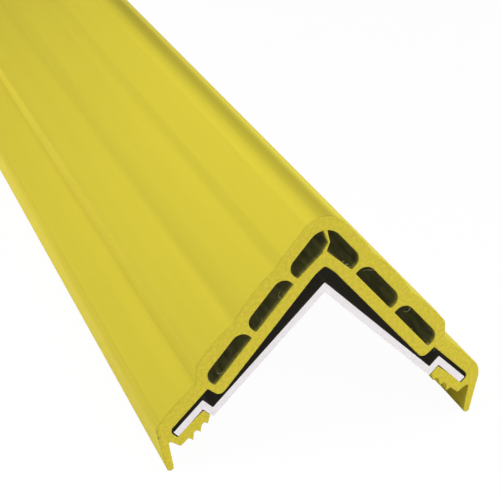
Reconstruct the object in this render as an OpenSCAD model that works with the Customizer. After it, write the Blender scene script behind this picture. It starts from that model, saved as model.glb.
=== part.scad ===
// Guard for an outside wall corner: a soft hollow cover clipped over a stepped rail.
// It lies as a tent on its two sealing lips, with its length along Y and its crown up.
// The origin is on the surface that it lies on, under the middle of the length.

/* [Length] */
// Length of the piece, from one saw cut to the other
length = 1000; // [100:10:3000]

/* [Rail] */
// Thickness of the rail
rail_t = 2; // [1.4:0.1:2.6]
// Step from the outer face of the rail's leg to the outer face of its lip
rail_step = 4; // [3.4:0.1:6]
// Length of the rail's lip, from the step's outer face to its edge
rail_lip = 11.8; // [9:0.1:20]
// Rounding of the rail's corners
rail_corner_r = 0.3; // [0.1:0.05:0.6]

/* [Fixing holes] */
// Diameter of the fixing holes in the rail
hole_d = 5.5; // [3:0.1:8]
// Distance from the rail's outer corner to the centre of a hole, along the leg
hole_in = 24; // [12:0.5:34]
// Distance between two holes in one leg
hole_pitch = 250; // [50:5:500]
// Distance from a cut end to the nearest hole, on the leg where that end comes first
hole_end = 62.5; // [10:0.5:200]

/* [Cover walls] */
// Wall between the rail and the chambers
inner_wall = 3.5; // [2:0.1:5]
// Outer wall where it is thinnest, in the valley over a web
outer_wall = 3.1; // [2:0.1:5]
// Thickness of the webs beside the chambers
web_t = 1.8; // [1:0.1:3]
// Angle by which each leg of the cover leans in towards the rail's foot
lean = 4.6; // [2:0.1:8]

/* [Cover chambers] */
// Number of chambers in each leg, besides the crown's
leg_chambers = 2; // [1:1:3]
// Width of a leg's chamber, along the leg
chamber_w = 16.3; // [10:0.1:24]
// Height of a chamber, between the two walls
chamber_h = 4.3; // [3.4:0.1:7]
// Rounding of the chambers' outer corners
chamber_r = 3.1; // [0.5:0.1:3.3]
// Rounding of the chambers' inner corners
chamber_floor_r = 0.5; // [0.2:0.05:0.8]

/* [Cover bulges] */
// Rise of the outer face over a chamber, above its valleys
bulge_h = 0.75; // [0.2:0.05:1.5]
// Rounding of the bulges
bulge_r = 52; // [20:1:90]
// Rounding of the valleys between the bulges
valley_r = 6; // [2:0.5:10]
// How far the shoulder of the last bulge lies up the leg from the foot's end
shoulder_in = 3.7; // [2:0.1:6]
// Height of that shoulder over the valleys
shoulder_h = 0.9; // [0.2:0.05:1.2]
// Rounding of that shoulder
shoulder_r = 3.4; // [1:0.1:5]

/* [Cover crown] */
// Width of each half of the crown's chamber, along its floor
crown_w = 10.8; // [8:0.1:16]
// How far the middle of that floor lies below the slope of the rail's legs
crown_floor_drop = 0.6; // [0:0.1:1.2]
// Outer wall beside the crown's chamber
crown_wall = 3.5; // [2.5:0.05:5]
// Length over which the outer face rises from the last valley to the crown
crown_rise_l = 3.5; // [2:0.1:5]
// Rounding of the crown
crown_r = 7.6; // [3:0.1:12]
// Rounding of the top of the crown's chamber
crown_chamber_r = 5.2; // [2:0.1:8]
// Thickness of the membrane that splits the crown's chamber, at its kink
membrane_t = 0.6; // [0.3:0.05:0.8]
// Thickness of that membrane at its two roots
membrane_root_t = 1.2; // [0.8:0.05:1.6]
// How far the membrane's kink stands to one side
membrane_kink = 1.1; // [0:0.1:1.6]
// Height of the kink over the chamber's floor
membrane_kink_up = 2.1; // [1:0.1:3]

/* [Cover inner corner] */
// How far the inner corner lies below the point where the inner faces would meet
corner_drop = 1.2; // [0.4:0.1:2]
// Slope of the two short faces beside the inner corner
corner_slope = 33; // [20:1:40]
// Rounding of the inner corner
corner_r = 0.8; // [0.3:0.1:2]
// Rounding of the bend where the short faces end
knee_r = 13; // [4:1:20]

/* [Cover foot and slot] */
// Gap between the foot of the cover and the rail's leg
foot_gap = 0.5; // [0.2:0.05:1]
// Gap between the foot's end and the rail's step
foot_setback = 3.6; // [2:0.1:6]
// Rounding of the foot
foot_r = 2; // [0.5:0.1:2.6]
// Gap over the rail's lip, in the slot
slot_gap = 1.1; // [0.4:0.1:2]
// Gap past the edge of the rail's lip
slot_end_gap = 0.5; // [0.45:0.05:1.5]
// Rounding of the slot's corner beside the foot
slot_corner_r = 0.3; // [0.1:0.05:0.8]
// Rounding of the slot's end, at its top
slot_top_r = 1.5; // [0.5:0.1:1.6]
// Rounding of the slot's end, at its floor
slot_floor_r = 0.4; // [0.1:0.05:0.45]

/* [Cover hook] */
// Thickness of the hook's outer wall
hook_wall = 4; // [2.5:0.1:6]
// Crown of the hook's outer face
hook_bulge = 0.15; // [0:0.05:0.4]
// How far the valley above the hook lies past the foot's end
hook_valley_out = 0.9; // [0:0.1:3]
// Rounding of that valley
hook_valley_r = 1.7; // [0.5:0.1:3]
// How far the hook's outer corner lies past the slot's end
hook_past_slot = 1.5; // [1:0.1:4]
// Rounding of the hook's outer corner
hook_r = 5.7; // [3:0.1:8]

/* [Cover jaw] */
// Gap between the jaw's nose and the rail's step
jaw_gap = 0.2; // [0.1:0.05:0.6]
// How far the jaw's underside lies above the wall's face, at its nose
jaw_inset_nose = 0.6; // [0.3:0.05:1]
// How far the jaw's underside lies above the wall's face, at its heel
jaw_inset_heel = 1.3; // [0.6:0.05:1.6]
// How far the jaw's nose hangs below the rail's lip
jaw_droop = 0.4; // [0.1:0.05:0.8]
// Length of the jaw's top that bears on the rail's lip, from the slot's end
jaw_seat = 4.5; // [2:0.1:6]
// Rounding of the jaw's top where its seat ends
jaw_seat_r = 4; // [1:0.5:8]
// How far the jaw's heel lies past the slot's end
heel_past_slot = 1.4; // [0.8:0.1:2]
// Rounding of the jaw's nose
nose_r = 0.5; // [0.2:0.05:0.7]
// Rounding of the jaw's heel
heel_r = 0.5; // [0.2:0.05:0.7]

/* [Cover barbs] */
// Distance from the jaw's nose to the tip of its first barb
barb_first = 2.2; // [1.9:0.1:3]
// Distance between two barbs
barb_pitch = 3; // [2.2:0.1:4]
// How far the barbs' tips reach past the wall's face
barb_reach = 0.4; // [0.1:0.05:0.8]
// Length of a barb's sloping front
barb_l = 1.7; // [0.8:0.1:1.8]
// Length of a barb's steep back
barb_back = 0.3; // [0.1:0.05:0.4]
// Length of jaw left without barbs, at its heel
heel_land = 1.5; // [1:0.1:2.5]
// Rounding of the barbs' tips
barb_tip_r = 0.1; // [0.05:0.05:0.2]

/* [Cover lip] */
// Angle between the sealing lip and the rail's leg
lip_angle = 57.3; // [50:0.1:70]
// Thickness of the sealing lip at its root
lip_root_t = 2.5; // [2:0.1:3.5]
// Thickness of the sealing lip at its edge
lip_edge_t = 1.9; // [1.2:0.1:2]
// How far the lip's outer edge reaches past the wall's face
lip_reach = 1.1; // [0.4:0.1:3]
// Height of the notch behind the lip over the slot's floor
notch_rise = 1.35; // [0.6:0.05:1.6]
// Rounding of the notch
notch_r = 0.45; // [0.2:0.05:0.8]

/* [Smoothness] */
// Degrees of turn between two points of an arc
arc_step = 6; // [3:1:15]

/* [Hidden] */

// The wall's corner is a right angle, and each leg slopes down at half of it
leg_angle = 90 / 2;
lean_c = cos(lean);
lean_s = sin(lean);

// Places out from the pad's inner face: the chambers' tops, the valleys, the crown's flanks
chamber_top = inner_wall + chamber_h;
valley = chamber_top + outer_wall;
crown_flank = chamber_top + crown_wall;

// Places along the pad from the foot's end up: the crown's chamber starts at crown_start
chamber_step = chamber_w + web_t;
crown_start = web_t + leg_chambers * chamber_step;

// Place of the foot's end along the rail's leg, and the rail's leg that this asks for
foot_s = crown_w - foot_gap + crown_start * (lean_c - lean_s) - inner_wall * (lean_c + lean_s);
rail_leg = foot_s + foot_setback;

// Places along the rail's leg (s) and out from its outer face (n)
wall_n = -rail_t;
slot_floor = rail_step - rail_t;
slot_top = rail_step + slot_gap;
slot_end = rail_leg + rail_lip + slot_end_gap;
hook_n = slot_top + hook_wall;
hook_s = slot_end + hook_past_slot;
hook_valley_s = foot_s + hook_valley_out;
nose_s = rail_leg + rail_t + jaw_gap;
heel_s = slot_end + heel_past_slot;
jaw_l = heel_s - nose_s;
barbs = floor((jaw_l - barb_first - heel_land) / barb_pitch) + 1;

// The lip's length, and the notch's place along it
lip_l = (hook_n - wall_n + lip_reach) / sin(lip_angle);
notch_d = (hook_n - slot_floor - notch_rise - lip_root_t * cos(lip_angle)) / sin(lip_angle);

// A point of the section, seen from the rail's outer corner: s down the right leg, n outwards
function leg(s, n) = [
    s * cos(leg_angle) + n * sin(leg_angle),
    n * cos(leg_angle) - s * sin(leg_angle)
];

// A point of the leaning pad: a up from the foot's end, b out from its inner face
function pad(a, b) = leg(foot_s - a * lean_c + b * lean_s, foot_gap + a * lean_s + b * lean_c);

// Where the pad's line at height b meets the middle plane
function ridge(b) =
    pad((foot_s + foot_gap + b * (lean_c + lean_s)) / (lean_c - lean_s), b);

// A point of the sealing lip: d down from the hook's outer corner, w in from its outer face
function lip(d, w) = leg(
    hook_s + d * cos(lip_angle) - w * sin(lip_angle),
    hook_n - d * sin(lip_angle) - w * cos(lip_angle)
);

// The jaw's underside, d from its nose
function jaw_under(d) = wall_n + jaw_inset_nose + (jaw_inset_heel - jaw_inset_nose) * d / jaw_l;

// One corner of an outline: its place and its rounding
function corner(p, r) = [p.x, p.y, r];

// The mirror image of a list of corners, in reverse, so that the outline closes
function mirrored(list) = [for (i = [len(list) - 1:-1:0]) [-list[i].x, list[i].y, list[i].z]];

// Rounding: each corner becomes an arc, made smaller where two arcs would meet on one side
function flat(p) = [p.x, p.y];
function turn(p, q, r) =
    let (u = flat(q) - flat(p), v = flat(r) - flat(q))
    atan2(u.x * v.y - u.y * v.x, u * v);
function reach(p, q, r) = q.z * tan(abs(turn(p, q, r)) / 2);
function share(side, mine, next) = min(1, side / max(mine + next, 0.0001));
function arc(p, q, t, bend) =
    let (
        u = (flat(q) - p) / norm(flat(q) - p),
        start = flat(q) - u * t,
        r = t / tan(abs(bend) / 2),
        centre = start + r * sign(bend) * [-u.y, u.x],
        steps = ceil(abs(bend) / arc_step)
    )
    [for (i = [0:steps])
        let (b = bend * i / steps, w = start - centre)
        centre + [w.x * cos(b) - w.y * sin(b), w.x * sin(b) + w.y * cos(b)]];
function rounded(c) =
    let (
        n = len(c),
        reaches = [for (i = [0:n - 1]) reach(c[(i + n - 1) % n], c[i], c[(i + 1) % n])],
        sides = [for (i = [0:n - 1]) norm(flat(c[(i + 1) % n]) - flat(c[i]))]
    )
    [for (i = [0:n - 1])
        let (
            before = (i + n - 1) % n,
            after = (i + 1) % n,
            bend = turn(c[before], c[i], c[after]),
            t = reaches[i] * min(
                share(sides[before], reaches[before], reaches[i]),
                share(sides[i], reaches[i], reaches[after])
            )
        )
        each t > 0.001 ? arc(flat(c[before]), c[i], t, bend) : [flat(c[i])]];

// The bulges from the crown down: a valley, then a bulge, whose rounding halves its corner
bulge_corners = [for (i = [leg_chambers - 1:-1:0])
    let (
        above = crown_start - web_t / 2 - (leg_chambers - 1 - i) * chamber_step,
        below = i > 0 ? above - chamber_step : shoulder_in
    )
    each [
        corner(pad(above, valley), valley_r),
        corner(pad((above + below) / 2, valley + 2 * bulge_h), bulge_r)
    ]];

// The cover's outline, one half at a time, from the crown down the outside and back inside
outer_corners = concat(
    [corner(pad(crown_start - web_t / 2 + crown_rise_l, crown_flank), valley_r)],
    bulge_corners,
    [
        corner(pad(shoulder_in, valley + shoulder_h), shoulder_r),
        corner(leg(hook_valley_s, hook_n), hook_valley_r),
        corner(leg((hook_valley_s + hook_s) / 2, hook_n + 2 * hook_bulge), bulge_r),
        corner(leg(hook_s, hook_n), hook_r)
    ]
);
lip_corners = [
    corner(lip(lip_l, 0), lip_edge_t / 2),
    corner(lip(lip_l, lip_edge_t), lip_edge_t / 2),
    corner(lip(notch_d, lip_root_t), notch_r)
];
barb_corners = [for (i = [barbs - 1:-1:0])
    let (d = barb_first + i * barb_pitch)
    each [
        corner(leg(nose_s + d + barb_back, jaw_under(d + barb_back)), barb_tip_r),
        corner(leg(nose_s + d, wall_n - barb_reach), barb_tip_r),
        corner(leg(nose_s + d - barb_l, jaw_under(d - barb_l)), barb_l / 3)
    ]];
jaw_corners = concat(
    [corner(leg(heel_s, jaw_under(jaw_l)), heel_r)],
    barb_corners,
    [
        corner(leg(nose_s, jaw_under(0)), nose_r),
        corner(leg(nose_s, slot_floor - jaw_droop), nose_r),
        corner(leg(slot_end - jaw_seat, slot_floor), jaw_seat_r)
    ]
);
slot_corners = [
    corner(leg(slot_end, slot_floor), slot_floor_r),
    corner(leg(slot_end, slot_top), slot_top_r),
    corner(pad(0, (slot_top - foot_gap) / lean_c), slot_corner_r),
    corner(pad(0, 0), foot_r)
];
inner_corner_y = ridge(0).y - corner_drop;
knee_x = corner_drop / (tan(leg_angle + lean) - tan(corner_slope));
knee_corners = [corner([knee_x, inner_corner_y - knee_x * tan(corner_slope)], knee_r)];
half_outline = concat(outer_corners, lip_corners, jaw_corners, slot_corners, knee_corners);
cover_outline = rounded(concat(
    [corner(ridge(crown_flank), crown_r)],
    half_outline,
    [corner([0, inner_corner_y], corner_r)],
    mirrored(half_outline)
));

// The crown's chamber, before the membrane splits it
crown_floor_end = pad(crown_start, inner_wall);
crown_floor_y = crown_floor_end.x + crown_floor_end.y - crown_floor_drop;
half_crown_chamber = [
    corner(pad(crown_start, chamber_top), chamber_r),
    corner(crown_floor_end, chamber_floor_r)
];
crown_chamber = rounded(concat(
    [corner(ridge(chamber_top), crown_chamber_r)],
    half_crown_chamber,
    [corner([0, crown_floor_y], chamber_floor_r)],
    mirrored(half_crown_chamber)
));
crown_roof_y = max([for (p = crown_chamber) p.y]);

// The rail's outline, one half at a time, from its outer corner down and back up inside
half_rail = [
    corner(leg(rail_leg, 0), rail_corner_r),
    corner(leg(rail_leg, rail_step), rail_corner_r),
    corner(leg(rail_leg + rail_lip, rail_step), rail_corner_r),
    corner(leg(rail_leg + rail_lip, slot_floor), rail_corner_r),
    corner(leg(rail_leg + rail_t, slot_floor), rail_corner_r),
    corner(leg(rail_leg + rail_t, wall_n), rail_corner_r)
];
rail_outline = rounded(concat(
    [corner([0, 0], rail_corner_r)],
    half_rail,
    [corner(leg(rail_t, wall_n), rail_corner_r)],
    mirrored(half_rail)
));

// Height of the rail's outer corner, with the sealing lips on the surface
corner_z = -min([for (p = cover_outline) p.y]);

// A chamber of the right leg, which starts at a along the pad
module chamber_shape(a) {
    polygon(rounded([
        corner(pad(a, inner_wall), chamber_floor_r),
        corner(pad(a, chamber_top), chamber_r),
        corner(pad(a + chamber_w, chamber_top), chamber_r),
        corner(pad(a + chamber_w, inner_wall), chamber_floor_r)
    ]));
}

// The membrane: a thin strip from the chamber's floor to its top, with one kink
module membrane_shape() {
    kink_y = crown_floor_y + membrane_kink_up;
    root = membrane_root_t / 2;
    kink = membrane_t / 2;
    sunk = inner_wall / 2;
    polygon([
        [-root, crown_floor_y - sunk],
        [root, crown_floor_y - sunk],
        [root, crown_floor_y],
        [membrane_kink + kink, kink_y],
        [root, crown_roof_y],
        [root, crown_roof_y + sunk],
        [-root, crown_roof_y + sunk],
        [-root, crown_roof_y],
        [membrane_kink - kink, kink_y],
        [-root, crown_floor_y]
    ]);
}

// A section drawn in X and Z, with the rail's outer corner at 0,0, run along the length
module run() {
    translate([0, length / 2, corner_z])
        rotate([90, 0, 0])
            linear_extrude(length)
                children();
}

// The soft cover: two padded legs with chambers, hooks, barbed jaws and sealing lips
module cover() {
    color([0.83, 0.77, 0.23])
        run()
            difference() {
                polygon(cover_outline);
                for (side = [0, 1], i = [0:leg_chambers - 1])
                    mirror([side, 0])
                        chamber_shape(web_t + i * chamber_step);
                difference() {
                    polygon(crown_chamber);
                    membrane_shape();
                }
            }
}

// One fixing hole through the right leg, at y
module fixing_hole(y) {
    place = leg(hole_in, wall_n / 2);
    translate([place.x, y, corner_z + place.y])
        rotate([0, leg_angle, 0])
            cylinder(h = 3 * rail_t, d = hole_d, center = true, $fn = 48);
}

// The rail: a right angle whose edges step outwards into two lips
module rail() {
    color([0.93, 0.92, 0.93])
        difference() {
            run()
                polygon(rail_outline);
            for (turned = [0, 180], y = [hole_end:hole_pitch:length - hole_end])
                rotate([0, 0, turned])
                    fixing_hole(length / 2 - y);
        }
}

cover();
rail();
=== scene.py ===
# Looks of a wall corner guard: a soft yellow cover, clipped over a pale stepped rail.
import math

import bmesh
import bpy
from mathutils import Matrix, Vector
from mathutils.bvhtree import BVHTree
from mathutils.geometry import intersect_point_line, tessellate_polygon


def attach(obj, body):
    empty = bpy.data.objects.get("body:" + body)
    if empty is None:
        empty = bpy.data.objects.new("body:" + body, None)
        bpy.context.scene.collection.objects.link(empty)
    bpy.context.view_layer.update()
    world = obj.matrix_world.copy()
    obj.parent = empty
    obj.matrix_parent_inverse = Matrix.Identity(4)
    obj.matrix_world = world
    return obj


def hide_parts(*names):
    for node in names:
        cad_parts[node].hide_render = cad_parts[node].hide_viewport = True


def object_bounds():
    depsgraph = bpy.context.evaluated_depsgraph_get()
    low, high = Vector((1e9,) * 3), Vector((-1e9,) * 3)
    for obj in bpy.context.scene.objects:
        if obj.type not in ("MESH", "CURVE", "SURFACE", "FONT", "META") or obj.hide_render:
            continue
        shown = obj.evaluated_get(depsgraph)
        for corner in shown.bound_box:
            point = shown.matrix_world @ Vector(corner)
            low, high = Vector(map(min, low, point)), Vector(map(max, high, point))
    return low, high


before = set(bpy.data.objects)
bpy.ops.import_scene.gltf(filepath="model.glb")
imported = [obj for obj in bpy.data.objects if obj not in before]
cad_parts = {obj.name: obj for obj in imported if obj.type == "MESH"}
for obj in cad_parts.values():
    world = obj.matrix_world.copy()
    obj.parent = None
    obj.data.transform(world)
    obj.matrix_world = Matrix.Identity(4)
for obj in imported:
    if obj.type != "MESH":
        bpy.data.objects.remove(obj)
cad_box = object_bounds()

MM = 0.001
LOW_Y = cad_box[0][1]
HIGH_Y = cad_box[1][1]
HALF_LENGTH = (HIGH_Y - LOW_Y) / 2

# The camera, set so that the near end's section falls where the photograph has it
CAMERA_PLACE = Vector((-0.1434, -0.8513, 0.2388))
CAMERA_LOOK = Vector((0.2975, 0.8529, -0.4291))
CAMERA_ROLL = math.radians(-0.56)
CAMERA_LENS = 115.25
SENSOR = 36.0

# Colours, as linear values
YELLOW = (0.660, 0.552, 0.046)
YELLOW_CUT = (0.610, 0.500, 0.038)
# The chambers' yellow walls: painted shade in place of their colour, and a painted glow
CHAMBER_PAINTED_SHADE = (0.085, 0.082, 0.016)
CHAMBER_PAINTED_GLOW = (0.0195, 0.0192, 0.0078)
# The gap between cover and rail: painted shade, and a faint painted glow
GAP_PAINTED_SHADE = (0.016, 0.014, 0.013)
GAP_PAINTED_GLOW = (0.0126, 0.0117, 0.0085)
# Painted shade: the burrs' yellow plastic painted dark olive
BURR_PAINTED_SHADE = (0.160, 0.160, 0.068)
# Colour of two small dark spots on the left hook
DARK_SPOT_COLOUR = (0.150, 0.125, 0.035)
PALE_METAL = (0.790, 0.745, 0.755)
FLOOR_SEEN = (0.930, 0.930, 0.925)
FLOOR_LIT = (0.700, 0.700, 0.700)
WHITE = (1.0, 1.0, 1.0)
BLACK = (0.0, 0.0, 0.0)
COOL_FILL = (0.920, 1.000, 1.080)

# Mottling: what a colour is multiplied by where it is warm, and where it is green
WARM = (1.03, 0.97, 1.18)
GREENISH = (0.97, 1.03, 0.78)

# Painted light and shade on the skin by the turn of its faces, in degrees: straight up is 0, left
# -90 and right 90.
# Faces turned to the side, the lips among them, are painted lighter, and the crown is painted
# darker.
TURN_PAINTED_LIGHT_AND_SHADE = (
    (-135, 1.000),
    (-115, 1.055),
    (-102, 1.280),
    (-95, 1.220),
    (-88, 1.180),
    (-75, 1.030),
    (-62, 0.967),
    (-57, 0.892),
    (-52, 0.950),
    (-44, 0.940),
    (-39, 0.976),
    (-28, 0.930),
    (-18, 0.860),
    (-10, 0.730),
    (-4, 0.665),
    (3, 0.602),
    (9, 0.596),
    (15, 0.630),
    (22, 0.765),
    (30, 0.910),
    (39, 0.990),
    (44, 0.940),
    (52, 0.950),
    (57, 0.892),
    (62, 0.967),
    (75, 1.030),
    (88, 1.180),
    (95, 1.220),
    (102, 1.280),
    (115, 1.055),
    (135, 1.000),
)

# Painted shade: the skin is a little darker right beside a cut: reach and tone
END_REACH = 1 * MM
END_PAINTED_SHADE = 0.90

# Painted light at the hollows' mouths beside a cut: reach and tone of the hollows' walls there,
# and the painted glow of the chambers' walls
MOUTH_REACH = 2 * MM
MOUTH_PAINTED_LIGHT = 2.6
MOUTH_PAINTED_GLOW = (0.066, 0.060, 0.013)

# How noise is stretched across, along and up the object: the smaller, the longer its patches
EVEN = (1.0, 1.0, 1.0)
LINES_ALONG = (1.0, 0.02, 1.0)
CLOUDS_ALONG = (1.0, 0.25, 1.0)
PATCHES_ALONG = (1.0, 0.2, 1.0)
SAW_LINES = (0.15, 1.0, 2.0)

# Roughness and specular level of the finishes, and the depth that a full bump stands for
SKIN_ROUGHNESS = (0.54, 0.62)
SKIN_SPECULAR = 0.03
CUT_ROUGHNESS = 0.62
CUT_SPECULAR = 0.15
HOLLOW_ROUGHNESS = 0.60
HOLLOW_SPECULAR = 0.20
RAIL_ROUGHNESS = 0.45
RAIL_METALLIC = 0.15
BURR_ROUGHNESS = 0.50
BUMP_DEPTH = 0.2 * MM

# The cover's rings along the length
NEAR_LENGTH = 0.280
NEAR_STEP = 0.008
FAR_STEP = 0.024
CUT_BEVEL = 0.15 * MM
CHAMBER_RINGS = (0.0, 0.4 * MM, 1.2 * MM, 3 * MM, 8 * MM, 20 * MM, 50 * MM, 120 * MM)
SHARP_ANGLE = math.radians(32)

# Painted shade in a crease: it reaches this far, is full where the faces turn in by this angle, and
# has this tone
CREASE_REACH = 1.9 * MM
CREASE_FULL = math.radians(30)
CREASE_PAINTED_SHADE = 0.95

# The cover's materials, by their place on its mesh
SKIN, CUT, CHAMBER, GAP = range(4)

# A face of the cover belongs to the gap where the rail lies this near in front of it
GAP_REACH = 9 * MM
PROBE_DEPTH = 10 * MM

# Saw burrs in the hollows' mouths, in mm across and up: root, bend, tip, and thickness
BURRS = (
    ((-27.6, 27.3), (-30.6, 26.0), (-30.3, 28.3), 0.22),
    ((-33.1, 27.0), (-32.9, 25.2), (-31.3, 24.3), 0.30),
    ((-12.0, 46.4), (-13.6, 46.5), (-12.3, 48.7), 0.22),
    ((-17.9, 38.9), (-17.3, 40.5), (-17.9, 42.0), 0.20),
    ((-21.6, 40.6), (-21.2, 38.8), (-19.9, 38.0), 0.24),
    ((25.8, 37.3), (24.9, 34.9), (23.4, 36.1), 0.32),
    ((33.3, 27.3), (33.2, 25.0), (31.8, 24.3), 0.22),
    ((31.0, 23.9), (31.1, 24.3), (31.3, 24.7), 0.55),
    ((25.8, 29.8), (26.1, 30.2), (26.5, 30.1), 0.30),
    ((13.9, 49.3), (12.6, 50.6), (10.9, 50.3), 0.18),
    ((4.9, 53.8), (5.3, 54.3), (5.8, 54.0), 0.36),
    ((5.9, 52.9), (6.4, 53.4), (6.9, 52.9), 0.42),
    ((6.8, 52.0), (7.3, 52.4), (7.5, 51.7), 0.34),
    ((33.4, 22.4), (33.0, 22.0), (33.2, 21.5), 0.26),
)
BURR_DEPTH = 0.5 * MM
BURR_RINGS = 10
BURR_SIDES = 6

# Two small dark spots on the near end's left hook, and their radius
DARK_SPOTS = (
    (-47.35 * MM, LOW_Y + 0.8 * MM, 12.6 * MM),
    (-47.10 * MM, LOW_Y + 0.2 * MM, 11.0 * MM),
)
DARK_SPOT_R = 0.9 * MM

# The studio: the floor's half width, the share of plain white in what the camera sees of it, and the
# strength of the world's light on the object
FLOOR_HALF = 6.0
FLOOR_WHITENESS = 0.97
WORLD_STRENGTH = 0.14

# The lamps: name, place, target, width, length, power, and spread in degrees
LAMPS = (
    ("key_lamp", (-0.08, -0.50, 0.46), (0.0, -0.45, 0.04), 0.25, 0.25, 1.64, 180),
    ("side_lamp", (-0.48, -0.22, 0.10), (0.0, -0.22, 0.04), 0.20, 0.20, 1.00, 180),
    ("right_lamp", (2.05, 0.24, 0.30), (0.0, -0.22, 0.04), 0.90, 0.90, 5.40, 180),
    ("front_lamp", (0.88, -1.52, 0.36), (0.0, -0.45, 0.04), 0.60, 0.60, 14.6, 180),
    ("far_lamp", (-0.05, 0.34, 0.70), (-0.05, 0.34, 0.04), 0.25, 0.50, 0.66, 44),
    ("middle_lamp", (-0.02, -0.01, 0.50), (-0.02, -0.01, 0.04), 0.12, 0.12, 0.04, 32),
)


def rgba(colour):
    """A linear colour with full alpha."""
    return (*colour, 1.0)


def scaled(colour, factor):
    """A colour, lighter or darker by a factor."""
    return tuple(c * factor for c in colour)


def tinted(colour, tint):
    """A colour multiplied by another."""
    return tuple(c * t for c, t in zip(colour, tint))


# Material nodes


def new_material(name):
    """An empty node material and its shader."""
    material = bpy.data.materials.new(name)
    material.use_nodes = True
    tree = material.node_tree
    return material, tree, tree.nodes["Principled BSDF"]


def node(tree, kind, **values):
    """One node, with its inputs and its properties set by name."""
    made = tree.nodes.new(kind)
    for name, value in values.items():
        if name in made.inputs:
            made.inputs[name].default_value = value
        else:
            setattr(made, name, value)
    return made


def calculated(tree, operation, first, second):
    """The result of a sum on two values: the first is a socket, the second a socket or a number."""
    made = node(tree, "ShaderNodeMath", operation=operation)
    tree.links.new(first, made.inputs[0])
    if isinstance(second, (int, float)):
        made.inputs[1].default_value = second
    else:
        tree.links.new(second, made.inputs[1])
    return made.outputs["Value"]


def ranged(tree, value, low, high, to_low, to_high):
    """A value carried from one range to another, and held at its ends."""
    made = node(tree, "ShaderNodeMapRange")
    made.inputs["From Min"].default_value = low
    made.inputs["From Max"].default_value = high
    made.inputs["To Min"].default_value = to_low
    made.inputs["To Max"].default_value = to_high
    tree.links.new(value, made.inputs["Value"])
    return made.outputs["Result"]


def object_place(tree):
    """The place of the shaded point in the object's own space."""
    return node(tree, "ShaderNodeTexCoord").outputs["Object"]


def part_of(tree, vector, axis):
    """One component of a vector."""
    parts = node(tree, "ShaderNodeSeparateXYZ")
    tree.links.new(vector, parts.inputs["Vector"])
    return parts.outputs[axis]


def stretched_noise(tree, stretch, scale, detail):
    """Noise in the object's own space, stretched by a factor for each axis."""
    mapping = node(tree, "ShaderNodeMapping")
    mapping.inputs["Scale"].default_value = stretch
    tree.links.new(object_place(tree), mapping.inputs["Vector"])
    made = node(tree, "ShaderNodeTexNoise", Scale=scale, Detail=detail)
    tree.links.new(mapping.outputs["Vector"], made.inputs["Vector"])
    return made.outputs["Fac"]


def mixed(tree, factor, low, high, blend="MIX"):
    """A colour between two others, each a socket or a colour, by a factor."""
    made = node(tree, "ShaderNodeMix", data_type="RGBA", blend_type=blend)
    inputs = [s for s in made.inputs if s.type == "RGBA"]
    for socket, colour in zip(inputs, (low, high)):
        if isinstance(colour, tuple):
            socket.default_value = rgba(colour)
        else:
            tree.links.new(colour, socket)
    if isinstance(factor, (int, float)):
        made.inputs["Factor"].default_value = factor
    else:
        tree.links.new(factor, made.inputs["Factor"])
    return [s for s in made.outputs if s.type == "RGBA"][0]


def multiplied(tree, colour, factor):
    """A colour multiplied by another colour or by a tone."""
    return mixed(tree, 1.0, colour, factor, "MULTIPLY")


def varied(tree, tone, colour, low, high):
    """A colour that goes from a darker shade of itself to a lighter one, by a tone."""
    return mixed(tree, tone, scaled(colour, low), scaled(colour, high))


def bumped(tree, height, strength):
    """A normal from a height."""
    bump = node(tree, "ShaderNodeBump", Strength=strength, Distance=BUMP_DEPTH)
    tree.links.new(height, bump.inputs["Height"])
    return bump.outputs["Normal"]


def painted_turn_light_and_shade(tree):
    """Painted light and shade on the skin, by the turn of the face about the length."""
    normal = node(tree, "ShaderNodeNewGeometry").outputs["Normal"]
    turn = calculated(tree, "ARCTAN2", part_of(tree, normal, "X"), part_of(tree, normal, "Z"))
    ramp = node(tree, "ShaderNodeValToRGB")
    elements = ramp.color_ramp.elements
    while len(elements) < len(TURN_PAINTED_LIGHT_AND_SHADE):
        elements.new(0.5)
    for element, (degrees, tone) in zip(elements, TURN_PAINTED_LIGHT_AND_SHADE):
        element.position = (degrees + 180) / 360
        element.color = (tone, tone, tone, 1.0)
    tree.links.new(ranged(tree, turn, -math.pi, math.pi, 0.0, 1.0), ramp.inputs["Fac"])
    return ramp.outputs["Color"]


def crease_painted_shade(tree):
    """Painted shade in the creases between the skin's bulges, as deep as the mesh says they are."""
    depth = node(tree, "ShaderNodeAttribute", attribute_name="crease").outputs["Fac"]
    return ranged(tree, depth, 0.0, 1.0, 1.0, CREASE_PAINTED_SHADE)


def end_tone(tree, reach, tone):
    """A value that goes from 1 to a given one within a reach of the two cut ends."""
    along = calculated(tree, "ABSOLUTE", part_of(tree, object_place(tree), "Y"), 0.0)
    return ranged(tree, along, HALF_LENGTH - reach, HALF_LENGTH, 1.0, tone)


def with_dark_spots(tree, colour):
    """A colour with the two small dark spots worked in."""
    spots = None
    for place in DARK_SPOTS:
        near = node(tree, "ShaderNodeVectorMath", operation="DISTANCE")
        near.inputs[1].default_value = place
        tree.links.new(object_place(tree), near.inputs[0])
        spot = ranged(tree, near.outputs["Value"], DARK_SPOT_R, 0.3 * DARK_SPOT_R, 0.0, 1.0)
        spots = spot if spots is None else calculated(tree, "MAXIMUM", spots, spot)
    grain = ranged(tree, stretched_noise(tree, EVEN, 1800.0, 2.0), 0.4, 0.6, 0.0, 1.0)
    return mixed(tree, calculated(tree, "MULTIPLY", spots, grain), colour, DARK_SPOT_COLOUR)


# Materials


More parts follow.
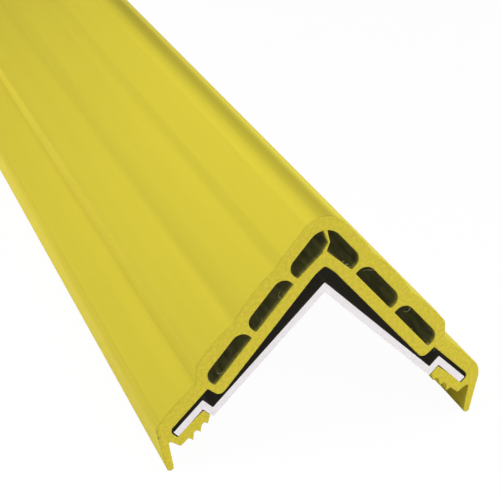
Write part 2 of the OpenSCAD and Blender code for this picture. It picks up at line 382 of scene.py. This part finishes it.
def skin_material():
    """The moulded skin of the cover: soft satin plastic with faint lines along its length, and
    painted light and shade.
    """
    material, tree, shader = new_material("yellow_skin")
    streaks = stretched_noise(tree, LINES_ALONG, 420.0, 3.0)
    clouds = stretched_noise(tree, CLOUDS_ALONG, 24.0, 2.0)
    tone = ranged(tree, calculated(tree, "ADD", streaks, clouds), 0.7, 1.3, 0.0, 1.0)
    colour = varied(tree, tone, YELLOW, 0.975, 1.02)
    # Painted light and shade by the turn of the faces, painted shade in the creases and painted
    # shade beside the cuts
    for factor in (painted_turn_light_and_shade(tree), crease_painted_shade(tree), end_tone(tree, END_REACH, END_PAINTED_SHADE)):
        colour = multiplied(tree, colour, factor)
    tree.links.new(with_dark_spots(tree, colour), shader.inputs["Base Color"])
    shader.inputs["Specular IOR Level"].default_value = SKIN_SPECULAR
    tree.links.new(ranged(tree, clouds, 0.3, 0.7, *SKIN_ROUGHNESS), shader.inputs["Roughness"])
    grain = stretched_noise(tree, EVEN, 2600.0, 2.0)
    normal = bumped(tree, calculated(tree, "ADD", streaks, grain), 0.08)
    tree.links.new(normal, shader.inputs["Normal"])
    return material


def cut_material():
    """The cover's saw-cut ends: matte and mottled, with faint saw lines."""
    material, tree, shader = new_material("yellow_cut")
    lines = stretched_noise(tree, SAW_LINES, 700.0, 2.0)
    mottle = stretched_noise(tree, EVEN, 1050.0, 1.0)
    height = calculated(tree, "ADD", lines, calculated(tree, "MULTIPLY", mottle, 6.0))
    tone = ranged(tree, height, 2.8, 4.2, 0.0, 1.0)
    colour = varied(tree, tone, YELLOW_CUT, 0.935, 1.055)
    hue = ranged(tree, stretched_noise(tree, EVEN, 850.0, 1.0), 0.34, 0.66, 0.0, 1.0)
    colour = multiplied(tree, colour, mixed(tree, hue, WARM, GREENISH))
    tree.links.new(with_dark_spots(tree, colour), shader.inputs["Base Color"])
    shader.inputs["Roughness"].default_value = CUT_ROUGHNESS
    shader.inputs["Specular IOR Level"].default_value = CUT_SPECULAR
    tree.links.new(bumped(tree, height, 0.03), shader.inputs["Normal"])
    return material


def hollow_material(name, colour, painted_glow, mouth_painted_glow):
    """The walls of a hollow, painted dark as shade, with a painted glow for the little light in it.
    """
    material, tree, shader = new_material(name)
    clouds = stretched_noise(tree, PATCHES_ALONG, 700.0, 3.0)
    tone = ranged(tree, clouds, 0.35, 0.65, 0.0, 1.0)
    base = varied(tree, tone, colour, 0.6, 1.4)
    # Painted light: the walls are lighter near the cut ends
    base = multiplied(tree, base, end_tone(tree, MOUTH_REACH, MOUTH_PAINTED_LIGHT))
    tree.links.new(base, shader.inputs["Base Color"])
    patches = stretched_noise(tree, PATCHES_ALONG, 500.0, 2.0)
    hue = ranged(tree, patches, 0.38, 0.62, 0.0, 1.0)
    # Painted glow, warm and green in patches
    light = mixed(tree, hue, tinted(painted_glow, WARM), tinted(scaled(painted_glow, 1.2), GREENISH))
    light = multiplied(tree, light, varied(tree, tone, WHITE, 0.7, 1.3))
    # Painted glow: near the cut ends the glow turns into the mouths' painted glow
    light = mixed(tree, end_tone(tree, MOUTH_REACH, 0.0), mouth_painted_glow, light)
    tree.links.new(light, shader.inputs["Emission Color"])
    shader.inputs["Emission Strength"].default_value = 1.0
    shader.inputs["Roughness"].default_value = HOLLOW_ROUGHNESS
    shader.inputs["Specular IOR Level"].default_value = HOLLOW_SPECULAR
    return material


def rail_material():
    """The rail: pale satin metal, with painted shade, near-black with a faint painted glow, on the
    side that the cover hides.
    """
    material, tree, shader = new_material("pale_rail")
    lines = stretched_noise(tree, LINES_ALONG, 900.0, 3.0)
    mottle = stretched_noise(tree, EVEN, 500.0, 2.0)
    tone = ranged(tree, calculated(tree, "ADD", lines, mottle), 0.7, 1.3, 0.0, 1.0)
    pale = varied(tree, tone, PALE_METAL, 0.965, 1.03)
    # Painted shade: faces turned up, which the cover hides, are painted near-black with a faint
    # painted glow
    normal = node(tree, "ShaderNodeNewGeometry").outputs["True Normal"]
    hidden = ranged(tree, part_of(tree, normal, "Z"), 0.30, 0.45, 0.0, 1.0)
    tree.links.new(mixed(tree, hidden, pale, GAP_PAINTED_SHADE), shader.inputs["Base Color"])
    tree.links.new(mixed(tree, hidden, BLACK, GAP_PAINTED_GLOW), shader.inputs["Emission Color"])
    shader.inputs["Emission Strength"].default_value = 1.0
    shader.inputs["Metallic"].default_value = RAIL_METALLIC
    shader.inputs["Roughness"].default_value = RAIL_ROUGHNESS
    tree.links.new(bumped(tree, lines, 0.10), shader.inputs["Normal"])
    return material


def burr_material():
    """Thin curls of plastic that the saw left, painted dark olive as shade."""
    material, tree, shader = new_material("burr_painted_shade")
    tone = ranged(tree, stretched_noise(tree, EVEN, 900.0, 2.0), 0.3, 0.7, 0.0, 1.0)
    tree.links.new(varied(tree, tone, BURR_PAINTED_SHADE, 0.8, 1.2), shader.inputs["Base Color"])
    shader.inputs["Roughness"].default_value = BURR_ROUGHNESS
    return material


# Meshes


def new_piece(name, mesh, body=None):
    """An object in the scene, which rides on a body when one is given."""
    piece = bpy.data.objects.new(name, mesh)
    bpy.context.scene.collection.objects.link(piece)
    if body:
        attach(piece, body)
    return piece


def face_outwards(mesh):
    """Turns every face of a closed mesh outwards."""
    work = bmesh.new()
    work.from_mesh(mesh)
    bmesh.ops.recalc_face_normals(work, faces=work.faces)
    work.to_mesh(mesh)
    work.free()


def sides_of(loop):
    """The sides of a closed loop, as pairs of points."""
    return list(zip(loop, loop[1:] + loop[:1]))


def area_of(loop):
    """Signed area inside a loop: positive where it runs anticlockwise."""
    return 0.5 * sum(a[0] * b[1] - b[0] * a[1] for a, b in sides_of(loop))


def end_outlines(solid):
    """The closed loops of a CAD piece's near end, the outer one first, as lists of (x, z)."""
    here = {}
    for vertex in solid.data.vertices:
        if vertex.co.y < LOW_Y + 1e-6:
            here[vertex.index] = (round(vertex.co.x, 7), round(vertex.co.z, 7))
    sides = set()
    for face in solid.data.polygons:
        if all(i in here for i in face.vertices):
            corners = [here[i] for i in face.vertices]
            sides.update(sides_of(corners))
    rim = {start: end for start, end in sides if (end, start) not in sides}
    loops = []
    for first in sorted(rim):
        if first not in rim:
            continue
        loop = [first]
        at = rim.pop(first)
        while at != first:
            loop.append(at)
            at = rim.pop(at)
        loops.append(loop)
    loops.sort(key=lambda loop: (-len(loop), loop[0]))
    return [loops[0] if area_of(loops[0]) > 0 else loops[0][::-1]] + [
        hole if area_of(hole) < 0 else hole[::-1] for hole in loops[1:]
    ]


def inset(loop, depth):
    """A loop moved to its left by a depth, each point along the middle of its two normals."""
    moved = []
    for i, (x, z) in enumerate(loop):
        before = Vector(loop[i]) - Vector(loop[i - 1])
        after = Vector(loop[(i + 1) % len(loop)]) - Vector(loop[i])
        normal = Vector((-before.y - after.y, before.x + after.x)).normalized()
        moved.append((x + normal.x * depth, z + normal.y * depth))
    return moved


def refined(loop):
    """A loop with more points near the ends of its long sides, where the creases' painted shade
    falls.
    """
    points = []
    for a, b in sides_of(loop):
        length = math.dist(a, b)
        points.append(a)
        if length > 2.5 * CREASE_REACH:
            steps = [CREASE_REACH * k / 3 for k in (1, 2, 3)]
            for step in steps + [length - s for s in reversed(steps)]:
                x = a[0] + (b[0] - a[0]) * step / length
                z = a[1] + (b[1] - a[1]) * step / length
                points.append((x, z))
    return points


def crease_depths(loop):
    """How deep in a crease each point of an anticlockwise loop lies, from 0 to 1."""
    bends = []
    for i, point in enumerate(loop):
        before = Vector(point) - Vector(loop[i - 1])
        after = Vector(loop[(i + 1) % len(loop)]) - Vector(point)
        turn = math.atan2(before.cross(after), before.dot(after))
        if turn < 0:
            bends.append((point, -turn))
    depths = []
    for point in loop:
        near = [turn * max(0.0, 1 - math.dist(point, bend) / CREASE_REACH) for bend, turn in bends]
        depths.append(min(1.0, sum(near) / CREASE_FULL))
    return depths


def gap_sides(loop, rail):
    """For each side of a loop, whether the rail lies close in front of it."""
    tree = BVHTree.FromPolygons(
        [v.co for v in rail.data.vertices], [p.vertices for p in rail.data.polygons]
    )
    flags = []
    for a, b in sides_of(loop):
        start = Vector(((a[0] + b[0]) / 2, LOW_Y + PROBE_DEPTH, (a[1] + b[1]) / 2))
        outwards = Vector((b[1] - a[1], 0.0, a[0] - b[0])).normalized()
        flags.append(tree.ray_cast(start, outwards, GAP_REACH)[0] is not None)
    return flags


def skin_places():
    """Where the skin's rings lie along the length, close together near the end in view."""
    places = [LOW_Y + CUT_BEVEL]
    while places[-1] < HIGH_Y - CUT_BEVEL - FAR_STEP:
        step = NEAR_STEP if places[-1] < LOW_Y + NEAR_LENGTH else FAR_STEP
        places.append(places[-1] + step)
    return places + [HIGH_Y - CUT_BEVEL]


def chamber_places():
    """Where a chamber's rings lie: close together at its two mouths."""
    depths = [CUT_BEVEL + depth for depth in CHAMBER_RINGS]
    return [LOW_Y + d for d in depths] + [HIGH_Y - d for d in reversed(depths)]


def side_kinds(index, hidden, bevel):
    """Which material each side of a ring takes, on the bevel at a cut or behind it."""
    if index:
        return [CUT if bevel else CHAMBER] * len(hidden)
    return [(CUT if bevel else GAP) if covered else SKIN for covered in hidden]


def build_cover(loops, rail):
    """The cover as one smooth shell, with its two cut faces, skin, chambers and gap."""
    points = []
    faces = []
    kinds = []
    depths = []
    caps = {LOW_Y: [], HIGH_Y: []}
    for index, loop in enumerate([refined(loops[0])] + loops[1:]):
        count = len(loop)
        rim = inset(loop, CUT_BEVEL)
        places = chamber_places() if index else skin_places()
        hidden = gap_sides(loop, rail)
        rings = [(LOW_Y, rim)] + [(y, loop) for y in places] + [(HIGH_Y, rim)]
        first = len(points)
        for y, ring in rings:
            points += [(x, y, z) for x, z in ring]
        depths += ([0.0] * count if index else crease_depths(loop)) * len(rings)
        for r in range(len(rings) - 1):
            a = first + r * count
            b = a + count
            for i in range(count):
                j = (i + 1) % count
                faces.append((a + i, a + j, b + j, b + i))
            kinds += side_kinds(index, hidden, r in (0, len(rings) - 2))
        last = first + (len(rings) - 1) * count
        caps[LOW_Y].append(list(range(first, first + count)))
        caps[HIGH_Y].append(list(range(last, last + count)))
    for lists in caps.values():
        flat = [i for ring in lists for i in ring]
        shape = [[Vector((points[i][0], points[i][2], 0.0)) for i in ring] for ring in lists]
        for triangle in tessellate_polygon(shape):
            faces.append(tuple(flat[t] for t in triangle))
            kinds.append(CUT)
    mesh = bpy.data.meshes.new("cover_shell")
    mesh.from_pydata(points, [], faces)
    # How deep in a crease each point lies, read by the skin's painted crease shade
    mesh.attributes.new("crease", "FLOAT", "POINT").data.foreach_set("value", depths)
    mesh.polygons.foreach_set("material_index", kinds)
    mesh.polygons.foreach_set("use_smooth", [True] * len(faces))
    face_outwards(mesh)
    mesh.set_sharp_from_angle(angle=SHARP_ANGLE)
    mesh.materials.append(skin_material())
    mesh.materials.append(cut_material())
    chamber = hollow_material("chamber_painted_shade", CHAMBER_PAINTED_SHADE, CHAMBER_PAINTED_GLOW, MOUTH_PAINTED_GLOW)
    mesh.materials.append(chamber)
    # The gap's walls take painted shade and a faint painted glow
    mesh.materials.append(hollow_material("gap_painted_shade", GAP_PAINTED_SHADE, GAP_PAINTED_GLOW, GAP_PAINTED_GLOW))
    cover = new_piece("cover_shell", mesh, "root")
    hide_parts("cover")


def curl(points, faces, root, bend, tip, thickness):
    """Adds one tapered curl from its root in a wall, past a bend, to its tip."""
    first = len(points)
    for ring in range(BURR_RINGS):
        t = ring / (BURR_RINGS - 1)
        centre = root * (1 - t) ** 2 + bend * 2 * t * (1 - t) + tip * t**2
        ahead = ((bend - root) * (1 - t) + (tip - bend) * t).normalized()
        side = Vector((ahead.z, 0.0, -ahead.x)).normalized()
        r = thickness / 2 * (1 - 0.85 * t**2)
        for k in range(BURR_SIDES):
            turn = math.tau * k / BURR_SIDES
            across = side * r * math.cos(turn)
            points.append(centre + across + side.cross(ahead) * r * math.sin(turn))
    for ring in range(BURR_RINGS - 1):
        a = first + ring * BURR_SIDES
        for k in range(BURR_SIDES):
            n = (k + 1) % BURR_SIDES
            faces.append((a + k, a + n, a + BURR_SIDES + n, a + BURR_SIDES + k))
    faces.append(tuple(range(first, first + BURR_SIDES)))
    last = first + (BURR_RINGS - 1) * BURR_SIDES
    faces.append(tuple(range(last, last + BURR_SIDES)))


def nearest_on(loops, place):
    """The point of some closed loops that lies nearest to a place."""
    found = []
    for loop in loops:
        for a, b in sides_of(loop):
            along = intersect_point_line(place, a, b)[1]
            found.append(Vector(a).lerp(Vector(b), min(1.0, max(0.0, along))))
    return min(found, key=lambda point: (point - place).length)


def build_burrs(loops):
    """The saw burrs, each rooted in the nearest wall, just inside the near end."""
    points = []
    faces = []
    for *places, thickness in BURRS:
        root, bend, tip = (Vector(place) * MM for place in places)
        root = nearest_on(loops, root)
        curve = [Vector((p.x, LOW_Y + BURR_DEPTH, p.y)) for p in (root, bend, tip)]
        curl(points, faces, *curve, thickness * MM)
    mesh = bpy.data.meshes.new("saw_burrs")
    mesh.from_pydata(points, [], faces)
    mesh.polygons.foreach_set("use_smooth", [True] * len(faces))
    face_outwards(mesh)
    mesh.materials.append(burr_material())
    new_piece("saw_burrs", mesh, "root")


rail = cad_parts["rail"]
outlines = end_outlines(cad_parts["cover"])
build_cover(outlines, rail)
build_burrs(outlines)
rail.data.materials.clear()
rail.data.materials.append(rail_material())


# Studio


def seen_directly(tree):
    """1 for what the camera sees, in a reflection and through glass too, and 0 for other light."""
    path = node(tree, "ShaderNodeLightPath").outputs
    seen = calculated(tree, "MAXIMUM", path["Is Camera Ray"], path["Is Glossy Ray"])
    return calculated(tree, "MAXIMUM", seen, path["Is Transmission Ray"])


def build_floor():
    """A wide pale floor, which the camera sees as white with a faint shadow."""
    mesh = bpy.data.meshes.new("floor")
    corners = [(x * FLOOR_HALF, y * FLOOR_HALF, 0) for x, y in ((-1, -1), (1, -1), (1, 1), (-1, 1))]
    mesh.from_pydata(corners, [], [(0, 1, 2, 3)])
    floor = new_piece("floor", mesh)
    material, tree, shader = new_material("pale_floor")
    tree.nodes.remove(shader)
    seen = seen_directly(tree)
    shaded = node(tree, "ShaderNodeBsdfDiffuse")
    tree.links.new(mixed(tree, seen, FLOOR_LIT, FLOOR_SEEN), shaded.inputs["Color"])
    bright = node(tree, "ShaderNodeEmission", Color=rgba(WHITE), Strength=1.0)
    mix = node(tree, "ShaderNodeMixShader")
    tree.links.new(calculated(tree, "MULTIPLY", seen, FLOOR_WHITENESS), mix.inputs["Fac"])
    tree.links.new(shaded.outputs["BSDF"], mix.inputs[1])
    tree.links.new(bright.outputs["Emission"], mix.inputs[2])
    tree.links.new(mix.outputs["Shader"], tree.nodes["Material Output"].inputs["Surface"])
    mesh.materials.append(material)


def build_world():
    """A little even white light, and a white background for the camera."""
    world = bpy.data.worlds.new("studio")
    bpy.context.scene.world = world
    world.use_nodes = True
    tree = world.node_tree
    background = tree.nodes["Background"]
    seen = seen_directly(tree)
    tree.links.new(mixed(tree, seen, COOL_FILL, WHITE), background.inputs["Color"])
    strength = ranged(tree, seen, 0.0, 1.0, WORLD_STRENGTH, 1.0)
    tree.links.new(strength, background.inputs["Strength"])


def build_lamp(name, place, target, width, length, power, spread):
    """A soft lamp that faces a target."""
    light = bpy.data.lights.new(name, "AREA")
    light.shape = "RECTANGLE"
    light.size = width
    light.size_y = length
    light.energy = power
    light.spread = math.radians(spread)
    lamp = bpy.data.objects.new(name, light)
    bpy.context.scene.collection.objects.link(lamp)
    lamp.location = place
    lamp.rotation_euler = (Vector(target) - Vector(place)).to_track_quat("-Z", "Y").to_euler()


def build_camera():
    """The camera, where the photograph was taken from."""
    data = bpy.data.cameras.new("camera")
    data.sensor_width = SENSOR
    data.sensor_fit = "HORIZONTAL"
    data.lens = CAMERA_LENS
    data.clip_start = 0.01
    camera = bpy.data.objects.new("camera", data)
    bpy.context.scene.collection.objects.link(camera)
    turn = CAMERA_LOOK.to_track_quat("-Z", "Y").to_matrix() @ Matrix.Rotation(CAMERA_ROLL, 3, "Z")
    camera.matrix_world = Matrix.Translation(CAMERA_PLACE) @ turn.to_4x4()
    bpy.context.scene.camera = camera


build_floor()
build_world()
for lamp in LAMPS:
    build_lamp(*lamp)
build_camera()
bpy.context.scene.view_settings.view_transform = "Standard"
